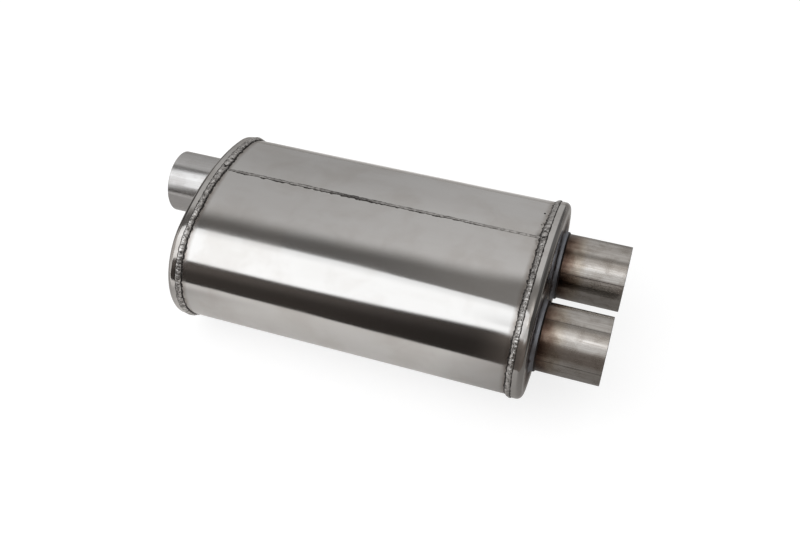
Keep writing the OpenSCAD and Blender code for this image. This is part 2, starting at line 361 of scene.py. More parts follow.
rear_y = (neck_low.y + neck_high.y) / 2
front_y = sum(corner.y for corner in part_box("front_outlet_neck")) / 2
inlet_cap = build_cap("inlet_cap_dish", "inlet_end_cap", -1, [rear_y])
outlet_cap = build_cap("outlet_cap_dish", "outlet_end_cap", 1, [rear_y, front_y])

# %% [markdown]
# ## The end welds
#
# The bead between shell and cap was laid by hand. It is a row of overlapping puddles: each froze in a
# curved edge, some lie higher than others, and the line of each edge wanders. A bump texture can't give
# the ragged outline, so the bead is a fine mesh. Its height is worked out from two numbers: how far along
# the weld a point lies, and how far across.

# %% Puddles
PUDDLE_PITCH = 3.1 * MM
CREASE_SHARE = 0.12


def near(distance, width):
    """1 where the distance is 0, and falling softly to 0 at about twice the width."""
    return np.exp(-(distance / width) ** 2)


def puddles(walked, across, length, pitch, seed, bow):
    """Height of the puddles from 0 to 1, and a mask that is 1 in the creases between them.

    `across` runs from -1 to 1, and `bow` says by how many puddles their edges lag at the two sides."""
    count = round(length / pitch)
    phase = walked / length * count + 0.5 * wander(walked, length, 3 * pitch, seed) + bow * across ** 2
    phase = phase + 0.25 * wander(walked, length, 1.1 * pitch, seed + 1) * across
    cell = np.floor(phase).astype(int) % count
    within = phase - np.floor(phase)
    sizes = np.random.RandomState(seed + 2).uniform(0.4, 1.0, count)
    dome = np.sin(np.pi * within ** 0.8) ** 0.7
    return dome * sizes[cell], near(np.minimum(within, 1 - within), CREASE_SHARE)


print("puddles on each end weld:", round(girth / PUDDLE_PITCH))

# %% [markdown]
# The puddles didn't freeze evenly. Their skin drew together into lumps of uneven size, and gas left small
# pits. Both lie at random, so their places are drawn from a seed, and each point of the bead looks for
# what is near.

# %% Lumps and pits
LUMP_SIZE = 3.5 * MM
LUMP_CREASE_SHARE = 0.2
PIT_SPACING = 5 * MM
BEAD_HALF_W = 2.6 * MM


def loop_distance(walked, place, length):
    """The shorter way between two places on a closed line."""
    return np.abs((walked - place + length / 2) % length - length / 2)


def lumps(walked, aside, length, size, seed):
    """Lumps of uneven height from 0 to 1, and a mask that is 1 in the creases between them.

    A point belongs to its nearest centre, and is in a crease where a second one is nearly as near."""
    draw = np.random.RandomState(seed)
    low, high = aside.min(), aside.max()
    centres = draw.uniform((0, low), (length, high), (int(length * (high - low) / size ** 2), 2))
    nearest = np.full(np.broadcast(walked, aside).shape, np.inf)
    second, lump = nearest.copy(), nearest.copy()
    for (place, side), height in zip(centres, draw.uniform(0, 1, len(centres))):
        away = np.hypot(loop_distance(walked, place, length), aside - side)
        closer = away < nearest
        second = np.where(closer, nearest, np.minimum(second, away))
        lump = np.where(closer, height, lump)
        nearest = np.minimum(nearest, away)
    crease = near(second - nearest, LUMP_CREASE_SHARE * size)
    return lump * (1 - crease), crease


def pits(walked, across, length, spacing, seed):
    """A mask that is 1 in small round pits."""
    draw = np.random.RandomState(seed)
    mask = np.zeros(np.broadcast(walked, across).shape)
    for place in draw.uniform(0, length, int(length / spacing)):
        side = draw.uniform(-0.8, 0.8)
        size = draw.uniform(0.35, 0.8) * MM
        pit = near(loop_distance(walked, place, length), size) * near(across - side, size / BEAD_HALF_W)
        mask = np.maximum(mask, pit)
    return mask


print("lumps on each end weld:", int(girth * bead_w / LUMP_SIZE ** 2))

# %% [markdown]
# The bead is thickest and widest where the welder started and stopped, because metal was laid there
# twice. A knob stands there, and a hole stays in the last puddle when the torch is lifted. Dirt gathers
# in the creases, most of it near the start. A black line runs along both toes: oxide at the shell, and
# against the skirt also painted shade of the crease between bead and skirt. So height, dirt and that
# painted shade are worked out together.

# %% Height, dirt and painted shade of an end weld
BEAD_SKIN = 0.04 * MM
BEAD_CLEAR = 0.05 * MM
START_REACH = 20 * MM
KNOB_R = 3.1 * MM
KNOB_ASIDE = 0.3 * MM
HOLE_R = 1.2 * MM
HOLE_BEFORE_KNOB = 5 * MM
PLAIN_SHARE = 0.60
DOME_SHARE = 0.12
LUMP_SHARE = 0.30
KNOB_SHARE = 0.34
CREASE_DEPTH = 0.10 * MM
GAP_DEPTH = 0.14 * MM
PIT_DEPTH = 0.45 * MM
HOLE_DEPTH = 0.7 * MM
RIM_DEPTH = 0.3 * MM
GRIME = 0.66
GRIME_SWING = 0.3
GRIME_AT_START = 0.3
GAP_DIRT = 0.58
CREASE_DIRT = 0.24
TOE_LINE_AND_SHADE_SHARE = 0.15


def bead_surface(walked, across, width, start, side, seed):
    """Height of an end weld over the shell, and its darkening from 0 to 1, painted shade along the toes
    included. `start` is where the weld was begun.
    """
    dome, crease = puddles(walked, across, girth, PUDDLE_PITCH, seed, 0.3 * side)
    lump, gap = lumps(walked, across * width / 2, girth, LUMP_SIZE, seed + 3)
    pit = pits(walked, across, girth, PIT_SPACING, seed + 8)
    from_knob = np.hypot(walked - start, across * width / 2 + KNOB_ASIDE) / KNOB_R
    knob = np.clip(1.3 - from_knob ** 2, 0, 1)
    rim = near(from_knob - 1.12, 0.16)
    hole = near(walked - start + HOLE_BEFORE_KNOB, HOLE_R) * near(across, 0.5)
    gap = gap * (1 - knob)
    crease = crease * (1 - knob)

    edge = (1 - across ** 2) ** 0.5
    swell = 1 + 0.1 * wander(walked, girth, 14 * MM, seed + 7)
    full = (bead_top - skirt_out / 2 - BEAD_CLEAR) * swell
    height = full * (PLAIN_SHARE + DOME_SHARE * dome + LUMP_SHARE * lump + KNOB_SHARE * knob)
    height = height - (CREASE_DEPTH * crease + GAP_DEPTH * gap + PIT_DEPTH * pit + HOLE_DEPTH * hole
                       + RIM_DEPTH * rim)
    height = np.clip((across + 1) / 2 * skirt_out + edge * height, BEAD_SKIN, bead_top - BEAD_CLEAR)

    grime = GRIME + GRIME_SWING * wander(walked, girth, 26 * MM, seed + 10)
    grime = grime + GRIME_AT_START * near(loop_distance(walked, start, girth), START_REACH)
    dirt_and_shade = grime * (GAP_DIRT * gap + CREASE_DIRT * crease) * edge ** 0.5
    # The black line along both toes is oxide, and next to the skirt it is also painted shade of the crease.
    toe_line_and_shade = near(1 - np.abs(across), TOE_LINE_AND_SHADE_SHARE)
    return height, np.clip(dirt_and_shade + pit + hole + rim + toe_line_and_shade, 0, 1)


print("height of an end weld over the shell in mm:", round((bead_top - BEAD_CLEAR) / MM, 2))

# %% [markdown]
# A thin film of oxide lies beside the bead, on the shell and a little on the skirt, and its outer edge
# wanders too. It is part of the bead's own mesh, a few hundredths of a millimetre above the sheet. Specks
# of spatter are small flat beads of their own in the same piece. Those of the inlet end lie on the
# underside.

# %% Build the end welds
BEAD_STEP = 0.36 * MM
BEAD_STEPS_ACROSS = 26
BEAD_ROOT = 0.35 * MM
START_EXTRA = 1.6 * MM
FILM_W = 1.3 * MM
SKIRT_FILM_W = 0.7 * MM
SPECK_SOOT = 0.9


def build_specks(places):
    """Small beads of spatter on the sheet, from their X, distance walked and radius."""
    tilt = np.linspace(0, np.pi, 7)[:, None]
    turn = np.linspace(0, 2 * np.pi, 10, endpoint=False)[None, :]
    points, faces = [], []
    for x, walked, radius in places:
        ring = walked + radius * np.sin(tilt) * np.cos(turn)
        spot = oval(ring, 0.6 * radius * np.cos(tilt) * np.ones_like(turn) + BEAD_SKIN)[0]
        along = x + 1.2 * radius * np.sin(tilt) * np.sin(turn)
        faces.append(grid_faces(len(tilt), turn.size, wrap_columns=True, first=len(points) * ring.size))
        points.append(np.concatenate([along[..., None], spot], -1).reshape(-1, 3))
    return np.concatenate(points), np.concatenate(faces)


def build_end_weld(name, node, side, width, start, seed, specks):
    """A bead round one end, with its films and specks."""
    count = int(girth / BEAD_STEP)
    walked = np.linspace(0, girth, count, endpoint=False)[:, None]
    across = np.linspace(-1, 1, BEAD_STEPS_ACROSS)[None, :]
    height, dirt_and_shade = bead_surface(walked, across, width, start, side, seed)

    def swings(step, seed_step):
        return wander(walked, girth, step, seed + seed_step)

    toe = width + (0.35 * swings(5 * MM, 5) + 0.38 * swings(1.9 * MM, 6)) * MM
    toe = toe + START_EXTRA * near(loop_distance(walked, start, girth), START_REACH)
    film = toe + FILM_W * (0.75 + 0.5 * swings(2.1 * MM, 9))
    lap = SKIRT_FILM_W * (0.75 + 0.5 * swings(2.4 * MM, 12))
    ones = np.ones_like(walked)
    places = np.concatenate([-film, -film, (across + 1) / 2 * toe - toe, lap, lap, 0 * ones], 1)
    outs = np.concatenate([-BEAD_ROOT * ones, BEAD_SKIN * ones, height, (skirt_out + BEAD_SKIN) * ones,
                           (skirt_out - BEAD_ROOT) * ones, -BEAD_ROOT * ones], 1)
    soot = np.concatenate([ones, ones, dirt_and_shade, ones, ones, ones], 1)
    ring = np.broadcast_to(walked, outs.shape)
    lift = sheet_relief(ring, skirt_x + places) * (1 - np.clip((places + film) / film, 0, 1))
    spot = oval(ring, outs + lift)[0]
    points = np.concatenate([(side * (skirt_x + places))[..., None], spot], -1).reshape(-1, 3)
    faces = grid_faces(count, outs.shape[1], wrap_rows=True, wrap_columns=True)
    speck_points, speck_faces = build_specks(specks)
    faces = np.concatenate([faces, speck_faces + len(points)])
    points = np.concatenate([points, speck_points])
    soot = np.concatenate([soot.ravel(), np.full(len(speck_points), SPECK_SOOT)])
    return add_piece(name, points, faces, node, "weld_steel", soot=soot)


INLET_SPECKS = [(-skirt_x + 13 * MM, 0.45 * girth, 0.5 * MM), (-skirt_x + 11 * MM, 0.52 * girth, 0.45 * MM)]
OUTLET_SPECKS = [(157.5 * MM, 50 * MM, 0.9 * MM), (158.5 * MM, 29 * MM, 0.6 * MM),
                 (160 * MM, 31.5 * MM, 0.45 * MM)]
inlet_bead = build_end_weld("inlet_cap_bead", "inlet_end_weld", -1, width=5.1 * MM, start=seam_at + 7 * MM,
                            seed=11, specks=INLET_SPECKS)
outlet_bead = build_end_weld("outlet_cap_bead", "outlet_end_weld", 1, width=5.3 * MM,
                             start=seam_at + 3.5 * MM, seed=57, specks=OUTLET_SPECKS)

# %% [markdown]
# ## The seam weld
#
# The long seam was welded quickly, with little filler. It is a low ridge whose two edges are dark and
# whose width comes and goes: a thin line near the inlet, a burnt stretch before the middle, and two faint
# even lines near the outlets. The same idea as for the end welds works here, with the distance along X in
# place of the distance round the oval.

# %% Build the seam weld
SEAM_STEP = 0.45 * MM
SEAM_STEPS_ACROSS = 12
SEAM_HALF_W = 1.45 * MM
SEAM_CROWN = 0.3 * MM
SEAM_FILMS = [(1.4 * MM, 75), (0.56 * MM, 76)]
BURNT_AT = -28 * MM
BURNT_REACH = 24 * MM
FADE_FROM = 70 * MM
FADE_LENGTH = 70 * MM
SEAM_THIN = 0.4
SEAM_THIN_LENGTH = 24 * MM
SEAM_TUCK = 3 * MM


def build_seam():
    """The ridge along the top, with a stem that fills the slit under it."""
    length = 2 * shell_end
    count = int(length / SEAM_STEP)
    x = np.linspace(-shell_end, shell_end, count)[:, None]
    across = np.linspace(-1, 1, SEAM_STEPS_ACROSS)[None, :]

    def swings(step, seed):
        return wander(x + shell_end, length, step, seed, False)

    start = np.clip((x + skirt_x) / SEAM_THIN_LENGTH, 0, 1)
    late = np.clip((x - FADE_FROM) / FADE_LENGTH, 0, 1)
    open_part = np.clip((skirt_x - bead_w - np.abs(x)) / SEAM_TUCK, 0, 1)
    rough = 1 - 0.8 * late
    burn = near(x - BURNT_AT, BURNT_REACH)
    half = SEAM_HALF_W * (0.95 + 0.16 * rough * swings(2.1 * MM, 71) + 0.2 * swings(19 * MM, 72))
    half = half * (SEAM_THIN + (1 - SEAM_THIN) * start)
    half = np.minimum(half, SEAM_HALF_W) * (0.5 + 0.5 * open_part)
    shown = start * (1 - 0.55 * late)
    films = [half + film_w * shown * (0.7 + 0.5 * burn + 0.6 * rough * swings(2.6 * MM, seed))
             for film_w, seed in SEAM_FILMS]
    drift = 0.25 * MM * swings(31 * MM, 73) * open_part
    ripple = 0.8 + 0.2 * rough * swings(1.6 * MM, 74)
    height = BEAD_SKIN + SEAM_CROWN * open_part * start ** 0.5 * ripple * (1 - across ** 2)
    ones = np.ones_like(x)
    stem = SEAM_GAP / 2 * ones
    offsets = np.concatenate([drift - films[0], drift + half * across, drift + films[1],
                              stem, stem, -stem, -stem], 1)
    skin = BEAD_SKIN / 2 * ones
    root = -SHELL_WALL * ones
    outs = np.concatenate([skin, height, skin, -skin, root, root, -skin], 1)

    burnt = 0.22 + 0.6 * burn + 0.3 * (1 - start)
    dirt_and_shade = burnt + (1 - burnt) * near(1 - np.abs(across), 0.22)
    faded = 1 - 0.45 * late
    soot = np.concatenate([faded, dirt_and_shade * faded, faded] + 4 * [ones], 1)
    stations = np.broadcast_to(x, offsets.shape)
    ring = seam_at + offsets
    spot = oval(ring, outs + sheet_relief(ring, stations))[0]
    points = np.concatenate([stations[..., None], spot], -1)
    columns = offsets.shape[1]
    faces = grid_faces(count, columns, wrap_columns=True).tolist()
    faces += [list(range(columns)), list(range((count - 1) * columns, count * columns))]
    return add_piece("seam_ridge", points, faces, "shell_seam_weld", "weld_steel", soot=soot)


seam = build_seam()

# %% [markdown]
# ## The necks
#
# A neck is a plain tube. It was cut with a saw and the burr was brushed off, so each end has a narrow
# bevel, and fine dark lines run along the tubes, left by the tube mill. The columns of points are closer
# at such a line, and the middle ones of it carry the soot. The cut ends are painted black, as painted
# shade on the tube's edge, and the bore is painted a little dark, as soot and as painted shade inside.

# %% Build the necks
NECK_STEPS_ROUND = 224
NECK_STEPS_ALONG = 46
BEVEL = 0.35 * MM
LINE_W = 0.5 * MM
LINE_COLUMNS = np.array([-1.2, -0.4, 0.4, 1.2])
BORE_SOOT_AND_SHADE = 0.4
FULL_TURN = 2 * np.pi


def box_and_centre(node):
    """Corners of a neck or fillet, and the place of its centre line across the muffler."""
    low, high = tidy_box(node)
    return low, high, (low.y + high.y) / 2


def build_neck(name, node, slot, lines):
    """A tube with bevelled ends. `lines` are the turns, in degrees from the top, of the fine dark lines."""
    low, high, centre = box_and_centre(node)
    bore_r = neck_r - NECK_WALL
    x = np.linspace(low.x + BEVEL, high.x - BEVEL, NECK_STEPS_ALONG)
    profile = ([(neck_r, v) for v in x] + [(neck_r - BEVEL, high.x), (bore_r + BEVEL, high.x)]
               + [(bore_r, v) for v in x[::-1]] + [(bore_r + BEVEL, low.x), (neck_r - BEVEL, low.x)])
    line_turns = (np.radians(lines)[:, None] + LINE_W / neck_r * LINE_COLUMNS) % FULL_TURN
    turn = np.linspace(0, FULL_TURN, NECK_STEPS_ROUND, endpoint=False)
    turn = np.sort(np.concatenate([turn, line_turns.ravel()]))
    on_line = np.isin(turn, line_turns[:, 1:3])
    rings, soot = [], []
    for radius, v in profile:
        rings.append(at_x(v, neck_ring(centre, radius, turn)))
        # The cut ends are painted black as painted shade on the edge; the bore is painted a little dark, as
        # soot and as painted shade.
        dirt_and_shade = BORE_SOOT_AND_SHADE if radius == bore_r else float(radius < neck_r)
        soot.append(np.maximum(on_line, dirt_and_shade))
    faces = grid_faces(len(rings), len(turn), wrap_rows=True, wrap_columns=True)
    return add_piece(name, rings, faces, node, slot, soot=np.array(soot, float))


inlet_tube = build_neck("inlet_tube", "inlet_neck", "neck_steel", [150])
rear_tube = build_neck("rear_outlet_tube", "rear_outlet_neck", "tinted_neck_steel", [-57, 122])
front_tube = build_neck("front_outlet_tube", "front_outlet_neck", "tinted_neck_steel", [-11, -82])

# %% [markdown]
# The fillet between the tube and the collar's lip was laid with a torch and hardly any filler, so its
# puddles are much finer than those of the end welds. The same puddles serve, walked round the neck.

# %% Build the fillets
FILLET_STEP = 0.5 * MM
FILLET_PITCH = 1.9 * MM
FILLET_STEPS_ACROSS = 9
FILLET_BOW = 0.35
FILLET_ROOT = 0.2 * MM


def build_fillet(name, node, side, seed):
    """The fine weld between a neck and the lip of its collar."""
    low, high, centre = box_and_centre(node)
    height = high.x - low.x
    foot = (high.y - low.y) / 2 - neck_r
    length = FULL_TURN * neck_r
    count = int(length / FILLET_STEP)
    turn = np.linspace(0, FULL_TURN, count, endpoint=False)[:, None]
    share = np.linspace(0, 1, FILLET_STEPS_ACROSS)[None, :]
    dome, crease = puddles(turn * neck_r, 2 * share - 1, length, FILLET_PITCH, seed, FILLET_BOW)
    bulge = np.sin(np.pi * share) * (0.05 + 0.12 * dome)
    reach = 0.9 + 0.1 * wander(turn * neck_r, length, 6 * MM, seed + 4)
    radius = neck_r + foot * np.clip(share + bulge, 0, 1) * (0.94 + 0.06 * reach)
    x = lip_x + height * np.clip(1 - share + bulge, 0, 1) * reach
    ones = np.ones_like(turn)
    root = (neck_r - FILLET_ROOT) * ones
    radius = np.concatenate([root, radius, root], 1)
    x = np.concatenate([(lip_x + height * 0.8) * ones, x, (lip_x - FILLET_ROOT) * ones], 1)
    # Both toes are painted black: oxide, and painted shade in the corners against the tube and the lip.
    soot = np.concatenate([ones, np.clip(0.8 * crease + (share < 0.2) + (share > 0.9), 0, 1), ones], 1)
    points = np.stack([side * x, centre + radius * np.sin(turn), axis_z + radius * np.cos(turn)], -1)
    faces = grid_faces(count, radius.shape[1], wrap_rows=True, wrap_columns=True)
    return add_piece(name, points, faces, node, "tinted_weld_steel", soot=soot)


inlet_fillet = build_fillet("inlet_fillet", "inlet_neck_weld", -1, 81)
rear_fillet = build_fillet("rear_outlet_fillet", "rear_outlet_neck_weld", 1, 86)
front_fillet = build_fillet("front_outlet_fillet", "front_outlet_neck_weld", 1, 91)

# %% [markdown]
# ## Helpers for materials
#
# A material is a small graph of nodes. Writing each link by hand hides the idea, so one helper adds a
# node, sets it up and fills its inputs: a number or colour is written into the socket, and an output is
# linked to it. The others are short names for the few nodes that every finish here needs.

# %% Node helpers
def add(tree, kind, inputs=None, **settings):
    """Adds a shader node, with its settings and with values or links for its inputs."""
    node = tree.nodes.new("ShaderNode" + kind)
    for name, value in settings.items():
        setattr(node, name, value)
    for name, value in (inputs or {}).items():
        if isinstance(value, bpy.types.NodeSocket):
            tree.links.new(value, node.inputs[name])
        else:
            node.inputs[name].default_value = value
    return node


def calculate(tree, operation, first, second=0.0, third=0.0, clamp=False):
    """The result of a Math node."""
    node = add(tree, "Math", {0: first, 1: second, 2: third}, operation=operation, use_clamp=clamp)
    return node.outputs[0]


def weighted(tree, base, *parts, clamp=False):
    """A base value plus masks, each times its weight. Clamp keeps the result from 0 to 1."""
    for mask, weight in parts:
        base = calculate(tree, "MULTIPLY_ADD", mask, weight, base, clamp)
    return base


def vector_math(tree, operation, first, second, output=0):
    """The result of a Vector Math node."""
    return add(tree, "VectorMath", {0: first, 1: second}, operation=operation).outputs[output]


def blend_colours(tree, share, first, second, blend_type="MIX"):
    """The result of a Mix node for colours."""
    node = add(tree, "Mix", {0: share, 6: first, 7: second}, data_type="RGBA", blend_type=blend_type)
    return node.outputs[2]


def map_range(tree, value, from_low, from_high, to_low=0.0, to_high=1.0, smooth=False):
    """Maps a value from one range to another and keeps it inside."""
    node = add(tree, "MapRange", {0: value, 1: from_low, 2: from_high, 3: to_low, 4: to_high},
               interpolation_type="SMOOTHSTEP" if smooth else "LINEAR")
    return node.outputs[0]


def object_place(tree):
    """A point's place on the object, in metres."""
    return add(tree, "TexCoord").outputs["Object"]


def noise(tree, place, scale, detail, roughness=0.5, output=0):
    """Soft random values, or with the output Color three of them at once."""
    inputs = {"Vector": place, "Scale": scale, "Detail": detail, "Roughness": roughness}
    return add(tree, "TexNoise", inputs).outputs[output]


def ramp(tree, share, stops):
    """Colours along a line, from pairs of place and colour."""
    node = add(tree, "ValToRGB", {0: share})
    elements = node.color_ramp.elements
    while len(elements) < len(stops):
        elements.new(1.0)
    for element, (place, colour) in zip(elements, stops):
        element.position = place
        element.color = (*colour, 1)
    return node.outputs[0]


def make_group(name, inputs, outputs, fill):
    """A node group with named sockets. `fill` takes its tree and inputs and gives the results, in order."""
    tree = bpy.data.node_groups.new(name, "ShaderNodeTree")
    for label in inputs:
        tree.interface.new_socket(label, in_out="INPUT", socket_type="NodeSocketFloat")
    for label, kind in outputs.items():
        tree.interface.new_socket(label, in_out="OUTPUT", socket_type="NodeSocket" + kind)
    given = tree.nodes.new("NodeGroupInput").outputs
    ends = tree.nodes.new("NodeGroupOutput").inputs
    for label, result in zip(outputs, fill(tree, given)):
        tree.links.new(result, ends[label])
    print("group", tree.name, "has", len(tree.nodes), "nodes")
    return tree


print("node helpers:", [helper.__name__ for helper in (add, calculate, weighted, noise, ramp)])

# %% [markdown]
# ## Effects that several finishes share
#
# Rolled and drawn steel carries fine streaks along one direction. They come from a noise texture whose
# space is squeezed: long steps along the streak, short ones across it. The group puts out the streak as a
# tone, for colour and roughness, and as a height for a faint bump.

# %% Streaks of rolled and drawn steel
def fill_streaks(tree, given):
    """Streaks that run along X, or round the body when Length is smaller than Width."""
    step = add(tree, "CombineXYZ", {0: given["Length"], 1: given["Width"], 2: given["Width"]}).outputs[0]
    squeezed = vector_math(tree, "DIVIDE", object_place(tree), step)
    coarse = noise(tree, squeezed, 1.0, 3.0, 0.6)
    fine = noise(tree, squeezed, 4.3, 1.0)
    tone = map_range(tree, coarse, 0.3, 0.7)
    return tone, weighted(tree, 0.0, (coarse, 0.6), (fine, 0.4))


streak_group = make_group("steel_streaks", ["Length", "Width"],
                          {"Tone": "Float", "Height": "Float"}, fill_streaks)

# %% [markdown]
# Clean steel still shows where it was handled: wide soft clouds in which it is a little duller and
# warmer. They are a slow noise, bent by a second one so that they don't look like round blobs.

# %% Clouds of handling
def fill_clouds(tree, given):
    """A soft mask of wide, irregular clouds."""
    inverse = calculate(tree, "DIVIDE", 1.0, given["Size"])
    scaled = add(tree, "VectorMath", {0: object_place(tree), "Scale": inverse}, operation="SCALE").outputs[0]
    bent = vector_math(tree, "ADD", scaled, noise(tree, scaled, 0.8, 2.0, output="Color"))
    return [map_range(tree, noise(tree, bent, 1.0, 4.0, 0.55), 0.42, 0.68, smooth=True)]


cloud_group = make_group("handling_clouds", ["Size"], {"Mask": "Float"}, fill_clouds)

# %% [markdown]
# Welding heats the steel beside the bead, and a film of oxide grows there. Its colour depends on how hot
# the place became, and so on the distance from the weld: blue grey next to it, then nearly black, brown
# and straw, and then bare steel. The group takes that distance and puts out a colour to multiply with the
# steel's own. Noise moves the borders, because the heat never spread evenly.

# %% Heat colours beside a weld
HEAT_STOPS = [  # share of the reach, colour
    (0.00, (0.68, 0.73, 0.83)),
    (0.17, (0.68, 0.72, 0.81)),
    (0.25, (0.12, 0.09, 0.085)),
    (0.31, (0.13, 0.09, 0.075)),
    (0.40, (0.18, 0.12, 0.095)),
    (0.56, (0.43, 0.34, 0.285)),
    (0.78, (0.80, 0.745, 0.675)),
    (1.00, (1.0, 1.0, 1.0)),
]
HEAT_UNEVEN = 0.09


def fill_heat(tree, given):
    """The tint for a distance from the weld, where Reach is the distance at which the steel stays bare."""
    patches = noise(tree, object_place(tree), 85.0, 4.0, 0.65)
    share = calculate(tree, "DIVIDE", given["Distance"], given["Reach"])
    uneven = map_range(tree, patches, 0.3, 0.7, -HEAT_UNEVEN, HEAT_UNEVEN)
    share = calculate(tree, "ADD", share, uneven, clamp=True)
    return ramp(tree, share, HEAT_STOPS), calculate(tree, "SUBTRACT", 1.0, share)


heat_group = make_group("heat_colours", ["Distance", "Reach"],
                        {"Tint": "Color", "Mask": "Float"}, fill_heat)

# %% [markdown]
# Soot and loose oxide gather in creases. The meshes of the welds and the necks keep a number with each
# point that says how dark they are. Besides soot and oxide it paints shade: along the toes of the welds,
# on the cut ends of the necks and in their bores. The group breaks it up with fine noise, so that no
# crease is evenly black.

# %% Soot in creases, and painted shade
def fill_soot(tree, given):
    """A broken mask from the number a mesh keeps for grime, oxide and painted shade."""
    stored = add(tree, "Attribute", attribute_name="soot").outputs["Fac"]
    grit = noise(tree, object_place(tree), 900.0, 3.0, 0.6)
    broken = calculate(tree, "MULTIPLY", stored, map_range(tree, grit, 0.3, 0.6, 0.55, 1.15))
    return [calculate(tree, "MULTIPLY", broken, given["Amount"], clamp=True)]


soot_group = make_group("crease_soot", ["Amount"], {"Mask": "Float"}, fill_soot)

# %% [markdown]
# ## The finishes
#
# All the steel here is bare metal, so each material is a metallic Principled shader. What tells one piece
# from another is the base colour, the roughness and what lies on the surface. The shell is smooth rolled
# sheet, with faint streaks, clouds of handling, a warm tone beside the end welds and three touches of
# smoke.

# %% Steel of the shell
STEEL = (0.515, 0.512, 0.505, 1)
WARM_STEEL = (0.462, 0.45, 0.435, 1)
# Dark colour of oxide and smoke, also used as painted shade on weld toes and on the necks' cut ends.
OXIDE_AND_SHADE = (0.035, 0.031, 0.030, 1)
BESIDE_WELD = (0.26, 0.235, 0.215, 1)
WARM_REACH = 6 * MM
SMOKE = [  # centre and reach
    ((165.5 * MM, seam_y + 4 * MM, shell_high.z), 12 * MM),
    ((164 * MM, seam_y - 6 * MM, shell_high.z), 8 * MM),
    ((-166 * MM, seam_y + 2 * MM, shell_high.z), 8 * MM),
]


def new_material(name):
    """A material with only a Principled shader, its tree and that shader."""
    material = bpy.data.materials.new(name)
    material.use_nodes = True
    print("material", name)
    return material, material.node_tree, material.node_tree.nodes["Principled BSDF"]


def use(tree, group, **inputs):
    """Places a node group in a material."""
    return add(tree, "Group", inputs, node_tree=group).outputs


def feed(tree, shader, colour, roughness, height, relief):
    """Links what varies over the surface to a metallic shader. `relief` is how high the bump stands."""
    bump = add(tree, "Bump", {"Height": height, "Strength": 1.0, "Distance": relief}).outputs[0]
    for socket, value in {"Base Color": colour, "Roughness": roughness, "Normal": bump}.items():
        tree.links.new(value, shader.inputs[socket])
    shader.inputs["Metallic"].default_value = 1.0


def finish_shell():
    """Rolled sheet."""
    material, tree, shader = new_material("shell_steel")
    grain = use(tree, streak_group, Length=4 * MM, Width=0.6 * MM)
    bands = use(tree, streak_group, Length=120 * MM, Width=26 * MM)["Tone"]
    marks = use(tree, cloud_group, Size=55 * MM)["Mask"]
    share = weighted(tree, calculate(tree, "MULTIPLY", marks, 0.75), (bands, 0.4), clamp=True)
    colour = blend_colours(tree, share, STEEL, WARM_STEEL)
    place = object_place(tree)
    patches = noise(tree, place, 160.0, 3.0)
    along = calculate(tree, "ABSOLUTE", add(tree, "SeparateXYZ", {0: place}).outputs[0])
    warmed = map_range(tree, along, skirt_x - bead_w - WARM_REACH, skirt_x - bead_w, smooth=True)
    warmed = calculate(tree, "MULTIPLY", warmed, map_range(tree, patches, 0.3, 0.65, 0.5, 1.0))
    colour = blend_colours(tree, warmed, colour, BESIDE_WELD)
    for spot, reach in SMOKE:
        away = vector_math(tree, "DISTANCE", place, spot, "Value")
        smoke = map_range(tree, away, reach, 0.25 * reach, smooth=True)
        smoke = calculate(tree, "MULTIPLY", smoke, map_range(tree, patches, 0.42, 0.6, 0.15, 0.9))
        colour = blend_colours(tree, smoke, colour, OXIDE_AND_SHADE)
    roughness = weighted(tree, 0.08, (marks, 0.03), (grain["Tone"], 0.02), (warmed, 0.12))
    feed(tree, shader, colour, roughness, grain["Height"], 0.01 * MM)
    return material


shell_steel = finish_shell()

# %% [markdown]
# The caps are pressed from the same sheet, a little duller. The heat of the neck welds went into their
# faces, so they need each point's distance from the nearest neck. It is worked out in the material from
# the necks' places. The inlet end has no neck at the front, so there that one is counted a metre further
# away.

# %% Steel of the caps
CAP_STEEL = (0.485, 0.477, 0.465, 1)
WARM_CAP_STEEL = (0.37, 0.352, 0.335, 1)


def hypotenuse(tree, first, second):
    """The long side of a right-angled triangle."""
    square = calculate(tree, "MULTIPLY", second, second)
    return calculate(tree, "SQRT", calculate(tree, "MULTIPLY_ADD", first, first, square))


def distance_to_necks(tree):
    """Distance of a point from the fillet of the nearest neck."""
    x, y, z = add(tree, "SeparateXYZ", {0: object_place(tree)}).outputs
    along = calculate(tree, "SUBTRACT", lip_x, calculate(tree, "ABSOLUTE", x))
    lift = calculate(tree, "SUBTRACT", z, axis_z)
    missing = calculate(tree, "LESS_THAN", x, 0.0)
    aways = []
    for neck_y, extra in ((rear_y, 0.0), (front_y, missing)):
        radius = hypotenuse(tree, calculate(tree, "SUBTRACT", y, neck_y), lift)
        away = hypotenuse(tree, calculate(tree, "SUBTRACT", radius, neck_r), along)
        aways.append(calculate(tree, "ADD", away, extra))
    return calculate(tree, "MINIMUM", *aways)


def finish_caps():
    """Pressed sheet, with heat colours round the collars."""
    material, tree, shader = new_material("cap_steel")
    grain = use(tree, streak_group, Length=0.7 * MM, Width=5 * MM)
    marks = use(tree, cloud_group, Size=30 * MM)["Mask"]
    tint = use(tree, heat_group, Distance=distance_to_necks(tree), Reach=24 * MM)
    colour = blend_colours(tree, marks, CAP_STEEL, WARM_CAP_STEEL)
    colour = blend_colours(tree, 1.0, colour, tint["Tint"], "MULTIPLY")
    roughness = weighted(tree, 0.085, (marks, 0.05), (tint["Mask"], 0.52))
    feed(tree, shader, colour, roughness, grain["Height"], 0.01 * MM)
    return material


cap_steel = finish_caps()

# %% [markdown]
# A weld bead is bright where it froze cleanly and grey where its skin oxidised, in patches of a few
# millimetres. The fillets of the necks are darker, blue and brown from the heat. Both get the soot of
# their creases on top, and black lines along their toes that are partly painted shade.

